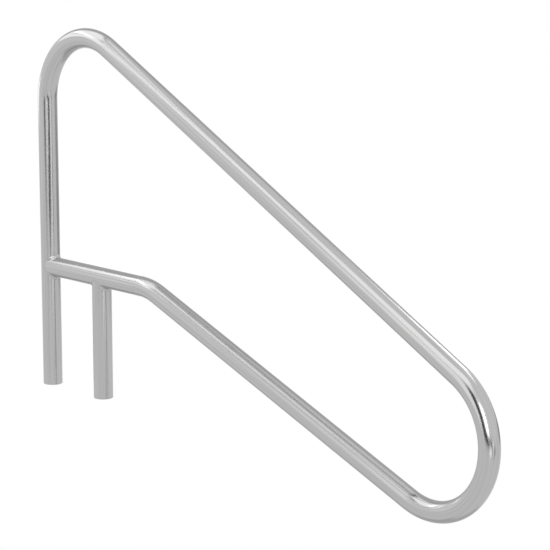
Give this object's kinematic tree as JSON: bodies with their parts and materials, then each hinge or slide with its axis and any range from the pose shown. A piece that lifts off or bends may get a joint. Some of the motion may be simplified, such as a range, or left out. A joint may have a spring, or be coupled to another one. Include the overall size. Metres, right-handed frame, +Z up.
{
  "type": "pool handrail",
  "caption": "Welded stainless tube stair rail with a sloping handrail, a rounded end loop, a return rail, a level brace and posts for deck anchors.",
  "frame": {"origin": "centre of the rear post's foot, at the bottom of its square-cut end", "axes": "+Z up along the rear post, +X level from the rear post towards the end loop over the steps, Y across the rail; every centreline lies in Y = 0"},
  "size_m": [1.5239, 0.0488, 0.9811],
  "materials": {
    "polished_tube": "stainless steel, polished along the tube",
    "dressed_weld": "stainless weld metal, ground and buffed"
  },
  "bodies": {
    "root": {"rail_tube": "polished_tube", "brace_tube": "polished_tube", "front_post": "polished_tube", "brace_weld": "dressed_weld", "front_post_weld": "dressed_weld", "butt_weld": "dressed_weld"}
  },
  "joints": []
}
